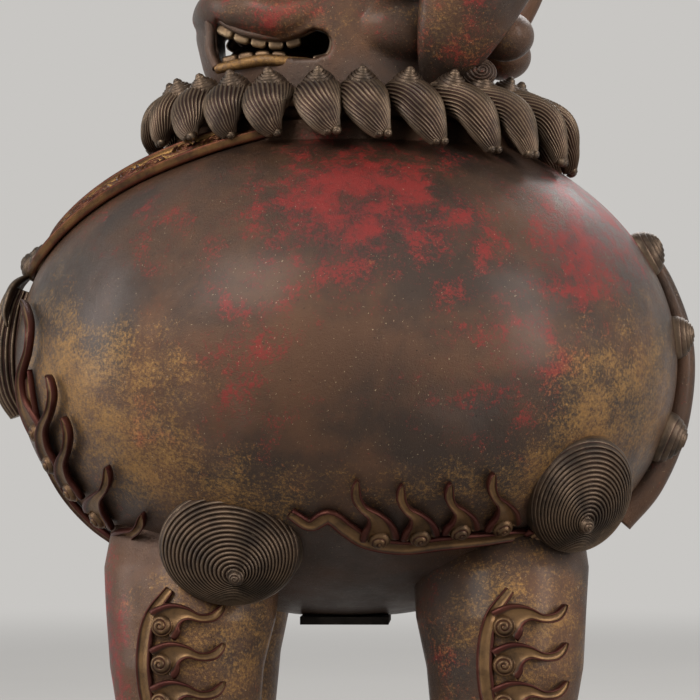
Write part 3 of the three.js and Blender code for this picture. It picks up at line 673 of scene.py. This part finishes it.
# Tail
pile = Pile()
path = [ball_point((175, 0, z), h)[0] for z, h in ((-98, 3), (-66, 4), (-30, 3), (8, 3), (44, 2),
                                                   (78, 1))]
pile.add(tube(path, lambda t: 9 - 4.5 * t, 32, 120))
pile.make("tail_along_rump", leg_mat, "base", "gilt", ["tail_stem"])
for i, (height, size) in enumerate(((-40, 12), (14, 10), (64, 11))):
    for side_name, side in (("left", -1), ("right", 1)):
        at, out = ball_point((175, side * (size + 2), height), 0)
        pile = Pile()
        pile.add(dome(at, out, (size * 0.95, size * 1.15), size * 0.95, 6, 1.5, (0, size * 0.2), 90, 60,
                      4, side, 0.55))
        pile.make(f"tail_lock_{i + 1}_{side_name}", curl_mat, "base", "dark_bronze",
                  [f"tail_curl_{i + 1}_{side_name}"])

# Mane


def mane():
    pile = Pile()
    count = 24
    ring = [(68.8, 370), (72.8, 370), (72.8, 384.4), (86, 384.4), (88, 388), (84, 394), (70, 394),
            (68.8, 393)]
    turn = np.linspace(0, 2 * math.pi, 120, endpoint=False)
    rows = np.array([[(r * math.cos(a), r * math.sin(a), z) for a in turn] for r, z in ring + ring[:1]])
    pile.add(rows, caps=False)
    for i in range(count):
        a = 2 * math.pi * (i + 0.5) / count + 0.015 * math.sin(i * 2.3)
        out = np.array([math.cos(a), math.sin(a), 0.0])
        back = max(0.0, math.cos(a))
        reach = 98 * (1 + 0.14 * back)
        trail = np.array([1.0, 0, 0]) * abs(math.sin(a)) + np.array([0, math.sin(i * 1.7),
                                                                     0]) * abs(math.cos(a))
        path = [np.array([out[0] * 82, out[1] * 78, 391.0]),
                np.array([out[0] * 91, out[1] * 87, 390.0]),
                np.array([out[0] * (reach + 1), out[1] * 96, 385.0 - 3 * back]) + trail * 1,
                np.array([out[0] * (reach + 6), out[1] * 101, 376.0 - 8 * back]) + trail * 5,
                np.array([out[0] * (reach + 7), out[1] * 102, 369.5 - 12 * back]) + trail * 9]
        side = np.cross(out, [0, 0, 1])
        pile.add(tube(path, lambda t: 12.6 * np.sin(math.pi * np.clip(0.3 + 0.62 * t, 0,
                                                                      1)) ** 0.75 + 0.4,
                      144, 72, side, 0.72, 28, 0.13, 1.9))
        for k in (-1, 1):
            tip = path[-1] + side * 2.2 * k + out * 1.5
            pile.add(dome(tip, unit(out + np.array([0, 0, -0.5])), (2.4, 2.4), 2.0, 1.5, 0.3, rings=16,
                          sides=20, skirt=2))
        bun_at = np.array([out[0] * 90, out[1] * 86, 393.0])
        bun_out = unit(0.42 * out + np.array([0, 0, 1.0]))
        pile.add(dome(bun_at, bun_out, (11.8, 9.6), 9.4, 6.5, 1.3, (0, 0), 110, 64, 5,
                      1 if i % 2 else -1, 0.6))
        knob = bun_at + bun_out * 8.6
        pile.add(dome(knob, bun_out, (2.7, 2.7), 3.2, 1.5, 0.4, rings=20, sides=24, skirt=2, bulge=0.5))
    pile.make("mane_of_curls", curl_mat, "head_lid", "dark_bronze", ["mane_collar"])


mane()

# Head


def ellipsoid(centre, radii, sides=64, rings=40):
    phi = np.linspace(-math.pi / 2 + 0.02, math.pi / 2 - 0.02, rings)
    turn = np.linspace(0, 2 * math.pi, sides, endpoint=False)
    return np.array([[(centre[0] + radii[0] * math.cos(p) * math.cos(a),
                       centre[1] + radii[1] * math.cos(p) * math.sin(a),
                       centre[2] + radii[2] * math.sin(p)) for a in turn] for p in phi])


def prism(outline, y0, y1):
    """Rings of a flat outline in x and z, drawn along y."""
    pts = np.asarray(outline, float)
    return np.array([[(x, y, z) for x, z in pts] for y in (y0, y1)])


def modify(obj, kind, **values):
    mod = obj.modifiers.new(kind.lower(), kind)
    for key, value in values.items():
        setattr(mod, key, value)
    return mod


def bake(obj):
    bpy.context.view_layer.update()
    graph = bpy.context.evaluated_depsgraph_get()
    mesh = bpy.data.meshes.new_from_object(obj.evaluated_get(graph))
    obj.modifiers.clear()
    old = obj.data
    obj.data = mesh
    bpy.data.meshes.remove(old)
    obj.data.shade_smooth()


def loft(keys, sides=64, rows=50):
    """Rings through level oval sections (z, x, y, rx, ry)."""
    keys = np.array(sorted(keys), float)
    turn = np.linspace(0, 2 * math.pi, sides, endpoint=False)
    out = []
    for z in np.linspace(keys[0, 0], keys[-1, 0], rows):
        x, y, rx, ry = [np.interp(z, keys[:, 0], keys[:, k]) for k in (1, 2, 3, 4)]
        out.append([(x + rx * math.cos(a), y + ry * math.sin(a), z) for a in turn])
    return np.array(out)


def head():
    pile = Pile()
    pile.add(ellipsoid((6, 0, 470), (66, 62, 66)))
    pile.add(loft([(397, -22, 0, 48, 50), (411, -26, 0, 50, 50), (428, -34, 0, 46, 47),
                   (444, -36, 0, 43, 48),
                   (462, -32, 0, 40, 43), (478, -26, 0, 32, 34), (490, -20, 0, 18, 20)]))
    pile.add(loft([(394, 2, 0, 66, 61), (450, 2, 0, 62, 58)]))
    for side in (-1, 1):
        pile.add(ellipsoid((25, side * 40, 427), (27, 23, 21)))
        pile.add(tube([(-76, side * 6, 437), (-66, side * 30, 441), (-48, side * 43, 438),
                       (-30, side * 47, 434),
                       (-10, side * 46, 440), (8, side * 44, 441), (26, side * 45, 432)],
                      lambda t: 6 + 5.5 * np.sin(math.pi * t) ** 0.7, 48, 90, (0, 0, 1)))
    obj = pile.make("head_of_the_beast", head_mat, "head_lid", "lacquer", ["head_shell", "lower_jaw"])
    cut = Pile()
    outline = [(-67, 436), (-58, 428), (-50, 423.5), (-34, 421), (-24, 423), (-15, 427), (-8, 425),
               (-5, 420),
               (-7, 413.5), (-14, 411.5), (-24, 412), (-40, 413.5), (-62, 411.5), (-65.5, 414)]
    cut.add(prism(outline, -90, 90))
    cutter = cut.make("mouth_cut", head_mat, "head_lid", "lacquer")
    hollow = Pile()
    hollow.add(ellipsoid((6, 0, 466), (52, 48, 52)))
    hollow.add(loft([(380, 2, 0, 57, 52), (460, 2, 0, 50, 46)]))
    hollow.add(loft([(404, -32, 0, 34, 39), (438, -33, 0, 34, 39)]))
    inside = hollow.make("inside_cut", head_mat, "head_lid", "lacquer")
    modify(obj, "REMESH", mode="VOXEL", voxel_size=0.0016, use_smooth_shade=True)
    bake(obj)
    for mesh in (cutter, inside):
        modify(mesh, "REMESH", mode="VOXEL", voxel_size=0.0016)
        bake(mesh)
        modify(obj, "BOOLEAN", operation="DIFFERENCE", object=mesh, solver="EXACT")
        bake(obj)
        bpy.data.objects.remove(mesh)
    modify(obj, "REMESH", mode="VOXEL", voxel_size=0.0013, use_smooth_shade=True)
    modify(obj, "SMOOTH", factor=0.5, iterations=6)
    bake(obj)
    obj.data.materials.clear()
    obj.data.materials.append(head_mat)
    return obj


head()


def mirrored(points):
    return [(x, -y, z) for x, y, z in points]


def both_sides(name, paths, material, slot, replaces=(), **more):
    """Tubes on the left and, mirrored, on the right, as one object."""
    pile = Pile()
    for points, radius, options in paths:
        pile.add(tube(points, radius, **options))
        pile.add(tube(mirrored(points), radius, **options))
    return pile.make(name, material, "head_lid", slot, replaces)


# Lips: a thick roll round the window of the mouth, with a fine rim inside it
upper_lip = [(-70, -31, 439), (-60, -40, 431), (-50, -45, 426), (-34, -48.5, 423.5),
             (-24, -49.5, 425.5),
             (-14, -50.5, 430.5), (-4, -51, 429.5), (1.5, -51.5, 421), (-2, -51, 412),
             (-13, -50, 408.5)]
lower_lip = [(-13, -50, 408.5), (-26, -49.5, 410), (-40, -48.5, 411.5), (-54, -44, 410),
             (-66, -36, 408.5)]
front_lip = [(-66, -36, 409), (-70, -32, 418), (-70, -31, 428), (-70.5, -31, 439)]
both_sides("lips", [(upper_lip, lambda t: 2.0 + 3.2 * np.clip(t * 1.8 - 0.7, 0, 1) * (1.25 - 0.45 * t),
                     {"sides": 28, "count": 110}),
                    (front_lip, lambda t: 2.8 + 0 * t, {"sides": 28, "count": 50, "wide": (1, 0, 0)})],
           lip_mat, "lacquer")
both_sides("lower_lip", [(lower_lip, lambda t: 3.4 - 0.7 * t, {"sides": 28, "count": 70})],
           gold_lip_mat, "gilt")
inner_rim = [(-62, -37, 431), (-50, -42.5, 425), (-34, -46, 422), (-22, -47, 424.5), (-13, -48.5, 428),
             (-7, -49.5, 425),
             (-5.5, -49.5, 420), (-8, -49, 414), (-15, -48.5, 412)]
both_sides("lip_rim", [(inner_rim, lambda t: 1.1 + 0.5 * t, {"sides": 16, "count": 90})], curl_mat,
           "lacquer")


def teeth(name, course, size, rise, node, side):
    """Square teeth side by side along a course given for the left side."""
    pile = Pile()
    flip = np.array([1, -side, 1])
    for i in range(len(course) - 1):
        a, b = np.array(course[i], float) * flip, np.array(course[i + 1], float) * flip
        middle, along = (a + b) / 2, unit(b - a)
        out = np.array([0, side, 0.0])
        out = unit(out - along * (out @ along))
        down = np.cross(along, out)
        down = down * (np.sign(down[2]) * rise)
        wide = np.linalg.norm(b - a) / 2 - 0.35
        rows = []
        for t in np.linspace(0, 1, 12):
            grow = (1 - max(0, (t - 0.72) / 0.28) ** 2.2 * 0.35) * (0.94 + 0.06 * math.sin(math.pi * t))
            angle = np.linspace(0, 2 * math.pi, 32, endpoint=False)
            cx = np.sign(np.cos(angle)) * np.abs(np.cos(angle)) ** 0.45 * wide * grow
            cy = np.sign(np.sin(angle)) * np.abs(np.sin(angle)) ** 0.6 * 2.6 * grow
            rows.append(middle + down * (t * size - 1.0) + cx[:, None] * along + cy[:, None] * out)
        pile.add(np.array(rows))
    pile.make(name, tooth_mat, "head_lid", "ivory_gilt", [node])


UPPER = [(-64.5, 31.5, 432.5), (-56, 38, 427.8), (-47.5, 41.5, 424.8), (-39, 43.5, 422.8),
         (-30.5, 44.5, 422.6),
         (-22, 45, 424.6)]
LOWER = [(-63, 33, 411), (-54.5, 39, 412), (-46, 42, 413), (-37.5, 43.5, 413), (-29.5, 44.5, 412)]
for side_name, side in (("left", -1), ("right", 1)):
    teeth(f"teeth_above_{side_name}", [(x, -y, z) for x, y, z in UPPER], 6.2, -1,
          f"upper_teeth_{side_name}", side)
    teeth(f"teeth_below_{side_name}", [(x, -y, z) for x, y, z in LOWER], 5.0, 1,
          f"lower_teeth_{side_name}", side)

tongue_pile = Pile()
tongue_pile.add(np.array(ellipsoid((-36, 0, 411), (30, 22, 16))))
tongue_pile.add(np.array(ellipsoid((-51, 0, 412), (13, 20, 13))))
tongue_pile.make("tongue_in_mouth", tongue_mat, "head_lid", "lacquer", ["tongue"])

# Cheek curl, side hair, ear, bulb behind it, brow, eye, horn, nose
for side_name, side in (("left", -1), ("right", 1)):
    pile = Pile()
    path = [(50, side * 52, 397), (55, side * 60, 412), (61, side * 66, 428), (70, side * 70, 450),
            (86, side * 73, 484),
            (102, side * 73, 518)]
    pile.add(tube(path, lambda t: 9 + 20 * np.sin(math.pi * np.clip(0.02 + 0.85 * t, 0, 0.97)), 72, 110,
                  (1, 0, 0), 0.5))
    pile.make(f"ear_bell_{side_name}", head_mat, "head_lid", "gilt", [f"ear_{side_name}"])
    pile = Pile()
    for k in range(3):
        path = [(36 - 9 * k, side * (55 + 2 * k), 446 + 2 * k), (30 - 8 * k, side * (63 + k), 468),
                (38 - 8 * k, side * 61, 498),
                (60 - 10 * k, side * 47, 524 - 3 * k)]
        pile.add(tube(path, lambda t: 3 + 8.5 * np.sin(math.pi * (0.1 + 0.85 * t)), 72, 80, (1, 0, 0),
                      0.8, 14, 0.16, 1.2))
    pile.make(f"side_hair_{side_name}", curl_mat, "head_lid", "dark_bronze", [f"hair_lock_{side_name}"])
    pile = Pile()
    pile.add(tube([(-52, side * 14, 500), (-44, side * 34, 514), (-20, side * 52, 514),
                   (8, side * 60, 500)],
                  lambda t: 4 + 5.5 * np.sin(math.pi * t), 48, 80, (0, 0, 1), 1, 12, 0.14, 3.0))
    pile.make(f"brow_ridge_{side_name}", curl_mat, "head_lid", "gilt", [f"brow_{side_name}"])
    pile = Pile()
    pile.add(ellipsoid((-30, side * 36, 492), (15, 13, 14)))
    pile.add(dome((-41, side * 43, 493), (-0.72, side * 0.7, 0.05), (5.5, 5.5), 2.6, 1, 0.4, rings=30,
                  sides=40, skirt=3))
    pile.make(f"eyeball_{side_name}", tooth_mat, "head_lid", "ivory_gilt", [f"eye_{side_name}"])
    pile = Pile()
    pile.add(ellipsoid((84, side * 44, 424), (15, 17, 13)))
    pile.add(dome((70, side * 56, 404), (0.3, side * 0.9, 0.1), (10, 8), 6, 5, 1.2, rings=50, sides=48,
                  skirt=8))
    pile.make(f"lobe_behind_ear_{side_name}", head_mat, "head_lid", "lacquer")

pile = Pile()
pile.add(tube([(0, 0, 528), (8, 0, 567), (30, 0, 598), (52, 0, 614)], lambda t: 14 - 11.5 * t, 48, 120,
              (0, 1, 0), 1, 9, 0.1, 5))
pile.make("twisted_horn", head_mat, "head_lid", "gilt", ["horn"])
pile = Pile()
pile.add(ellipsoid((-62, 0, 474), (15, 21, 13)))
for side in (-1, 1):
    pile.add(ellipsoid((-63, side * 18, 466), (12, 11, 10)))
    pile.add(dome((-70, side * 20, 467), (-0.7, side * 0.6, 0.1), (6, 6), 3, 2, 1.2, rings=30, sides=40,
                  skirt=3, spiral=side))
pile.make("nose_and_nostrils", head_mat, "head_lid", "gilt", ["nose"])

# Tray and plate
turn = np.linspace(0, 2 * math.pi, 96, endpoint=False)
profile = [(0.5, 150), (44, 150), (48, 151), (59, 166), (61.6, 186), (62, 189.4), (61.4, 190),
           (59.6, 190), (59, 189.4),
           (58.4, 186), (56, 167), (45, 154), (41, 153), (0.5, 153)]
pile = Pile()
pile.add(np.array([[(r * math.cos(a), r * math.sin(a), z) for a in turn] for r, z in profile]))
pile.make("tray_for_ash", soot_mat, "base", "soot_iron", ["ash_tray"])
ash = Pile()
ash.add(rough(np.array([[(r * math.cos(a), r * math.sin(a), z) for a in turn]
                        for r, z in ((0.5, 154), (40, 154), (55, 168), (56, 172), (40, 175), (20, 176),
                                     (0.5, 176))]), 9, 0.3))
ash.make("bed_of_ash", patinated("ash", dark=lin(96, 92, 88), light=lin(150, 146, 140), worn=GREY,
                                 wear=0.2,
                                 roughness=0.9), "base", "soot_iron")
for node in ("core_plate",):
    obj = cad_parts[node]
    obj.data.materials.clear()
    obj.data.materials.append(soot_mat)

# Stage


PALE = lin(200, 198, 195)


def seen_rays(tree):
    """1 for rays that show the background itself, to the eye or in polished metal."""
    path = tree.nodes.new("ShaderNodeLightPath")
    total = path.outputs["Is Camera Ray"]
    for ray in ("Is Glossy Ray", "Is Transmission Ray"):
        add = tree.nodes.new("ShaderNodeMath")
        add.use_clamp = True
        tree.links.new(total, add.inputs[0])
        tree.links.new(path.outputs[ray], add.inputs[1])
        total = add.outputs[0]
    return total


def stage_material(name, colour, near=0.9, far=3.2):
    """Pale floor that keeps the shadow and fades into the background further out."""
    t = Tree(name)
    t.put(t.shader.inputs["Base Color"], t.mix(t.ramp(t.noise(4, 3), 0.3, 0.7, 0.0, 0.1), colour,
                                               lin(168, 166, 163)))
    t.shader.inputs["Roughness"].default_value = 0.9
    reach = t.tree.nodes.new("ShaderNodeVectorMath")
    reach.operation = "LENGTH"
    t.tree.links.new(t.where, reach.inputs[0])
    glow = t.tree.nodes.new("ShaderNodeEmission")
    glow.inputs["Color"].default_value = PALE
    fade = t.tree.nodes.new("ShaderNodeMixShader")
    t.put(fade.inputs["Fac"], t.times(t.ramp(reach.outputs["Value"], near, far), seen_rays(t.tree)))
    out = next(node for node in t.tree.nodes if node.type == "OUTPUT_MATERIAL")
    t.tree.links.new(t.shader.outputs[0], fade.inputs[1])
    t.tree.links.new(glow.outputs[0], fade.inputs[2])
    t.tree.links.new(fade.outputs[0], out.inputs["Surface"])
    return t.material


def stage():
    mesh = bpy.data.meshes.new("stage floor")
    reach, sides = 12, 64
    rim = [(reach * math.cos(2 * math.pi * i / sides), reach * math.sin(2 * math.pi * i / sides), 0)
           for i in range(sides)]
    mesh.from_pydata(rim, [], [list(range(sides))])
    floor = bpy.data.objects.new("stage_floor", mesh)
    bpy.context.scene.collection.objects.link(floor)
    floor.data.materials.append(stage_material("pale stage", lin(186, 184, 181)))

    def softbox(name, at, aim, size, power, tint=(1, 1, 1)):
        light = bpy.data.lights.new(name, "AREA")
        light.shape = "RECTANGLE"
        light.size, light.size_y = size
        light.energy = power
        light.color = tint
        lamp = bpy.data.objects.new(name, light)
        lamp.location = at
        lamp.rotation_euler = (Vector(aim) - Vector(at)).to_track_quat("-Z", "Y").to_euler()
        bpy.context.scene.collection.objects.link(lamp)

    softbox("key", (-1.1, -1.6, 1.7), (0, 0, 0.27), (1.1, 1.1), 34, (1.0, 0.97, 0.93))
    softbox("side", (1.7, -0.9, 0.9), (0, 0, 0.25), (0.5, 1.5), 22, (1.0, 0.97, 0.94))
    softbox("rim", (0.4, 1.6, 1.6), (0, 0, 0.3), (1.4, 0.8), 18)
    softbox("left fill", (-1.9, -0.2, 0.6), (0, 0, 0.25), (0.5, 1.3), 12)
    world = bpy.data.worlds.new("studio")
    world.use_nodes = True
    tree = world.node_tree
    light = tree.nodes["Background"]
    light.inputs["Color"].default_value = (0.8, 0.8, 0.8, 1)
    light.inputs["Strength"].default_value = 0.35
    shown = tree.nodes.new("ShaderNodeBackground")
    shown.inputs["Color"].default_value = PALE
    choose = tree.nodes.new("ShaderNodeMixShader")
    tree.links.new(seen_rays(tree), choose.inputs["Fac"])
    tree.links.new(light.outputs[0], choose.inputs[1])
    tree.links.new(shown.outputs[0], choose.inputs[2])
    tree.links.new(choose.outputs[0], tree.nodes["World Output"].inputs["Surface"])
    bpy.context.scene.world = world


stage()

AIM = Vector((SHIFT[0] / 1000 + 0.002, 0.0, 0.263))
DISTANCE = 1.8
azimuth, elevation = math.radians(2), math.radians(-2)
camera = bpy.data.objects.new("camera", bpy.data.cameras.new("camera"))
camera.location = AIM + DISTANCE * Vector((math.sin(azimuth) * math.cos(elevation),
                                           -math.cos(azimuth) * math.cos(elevation),
                                           math.sin(elevation)))
camera.rotation_euler = (AIM - camera.location).to_track_quat("-Z", "Y").to_euler()
camera.data.sensor_width = 36
camera.data.lens = 36 / (2 * 0.1855 / DISTANCE)
camera.data.clip_start = 0.05
bpy.context.scene.collection.objects.link(camera)
bpy.context.scene.camera = camera
bpy.context.scene.view_settings.view_transform = "Standard"
